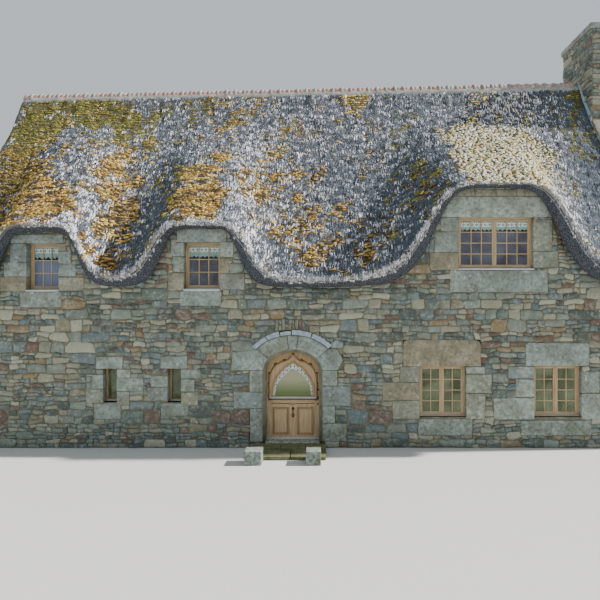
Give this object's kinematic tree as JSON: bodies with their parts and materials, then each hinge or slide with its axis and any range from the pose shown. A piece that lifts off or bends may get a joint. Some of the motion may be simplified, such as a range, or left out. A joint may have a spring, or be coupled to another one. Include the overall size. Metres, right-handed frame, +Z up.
{
  "type": "thatched cottage",
  "caption": "Two-storey rubble stone cottage with a thick thatched roof that rises over its upper windows, and an arched front door that opens inwards.",
  "frame": {"origin": "centre of the plan on the underside of the ground floor, at ground level", "axes": "+X along the ridge towards the chimney gable, +Y from the front wall to the rear wall, +Z up"},
  "size_m": [16.97, 8.8, 10.9],
  "materials": {
    "floor_boards": "plain boards",
    "floor_lime": "tamped lime floor",
    "granite": "dressed granite",
    "iron": "black iron",
    "mortar": "lime mortar",
    "mossy_stone": "worn step with moss",
    "oak": "oiled oak",
    "stone_rubble": "coursed rubble in lime mortar",
    "thatch": "weathered reed thatch with moss",
    "window_glass": "clear glass"
  },
  "bodies": {
    "root": {"chimney_cap": "granite", "chimney_stack": "stone_rubble", "door_arch": "granite", "door_hood_mould": "granite", "door_jamb_left": "granite", "door_jamb_right": "granite", "door_pintle_lower": "iron", "door_pintle_upper": "iron", "doorstep": "mossy_stone", "front_wall_left": "stone_rubble", "front_wall_over_door": "stone_rubble", "front_wall_right": "stone_rubble", "ground_floor": "floor_lime", "left_gable_wall": "stone_rubble", "lintel_lower_middle": "granite", "lintel_lower_right": "granite", "lintel_upper_left": "granite", "lintel_upper_middle": "granite", "lintel_upper_right": "granite", "rear_wall": "stone_rubble", "ridge_capping": "mortar", "right_gable_wall": "stone_rubble", "sill_lower_middle": "granite", "sill_lower_right": "granite", "sill_upper_left": "granite", "sill_upper_middle": "granite", "sill_upper_right": "granite", "step_block_left": "granite", "step_block_right": "granite", "thatch_front": "thatch", "thatch_rear": "thatch", "threshold": "granite", "upper_floor": "floor_boards", "window_frame_lower_middle": "oak", "window_frame_lower_right": "oak", "window_frame_rear_lower_left": "oak", "window_frame_rear_lower_right": "oak", "window_frame_rear_upper_left": "oak", "window_frame_rear_upper_right": "oak", "window_frame_upper_left": "oak", "window_frame_upper_middle": "oak", "window_frame_upper_right": "oak", "window_glass_lower_middle": "window_glass", "window_glass_lower_right": "window_glass", "window_glass_rear_lower_left": "window_glass", "window_glass_rear_lower_right": "window_glass", "window_glass_rear_upper_left": "window_glass", "window_glass_rear_upper_right": "window_glass", "window_glass_slit_left": "window_glass", "window_glass_slit_right": "window_glass", "window_glass_upper_left": "window_glass", "window_glass_upper_middle": "window_glass", "window_glass_upper_right": "window_glass"},
    "front_door": {"front_door_leaf": "oak", "front_door_glass": "window_glass", "front_door_knocker": "iron", "front_door_handle": "iron"}
  },
  "joints": [
    {"name": "front_door_hinge", "type": "hinge", "parent": "root", "child": "front_door", "pos_m": [-1.306, -3.191, 0], "axis": [0, 0, 1], "range_deg": [0, 95]}
  ]
}
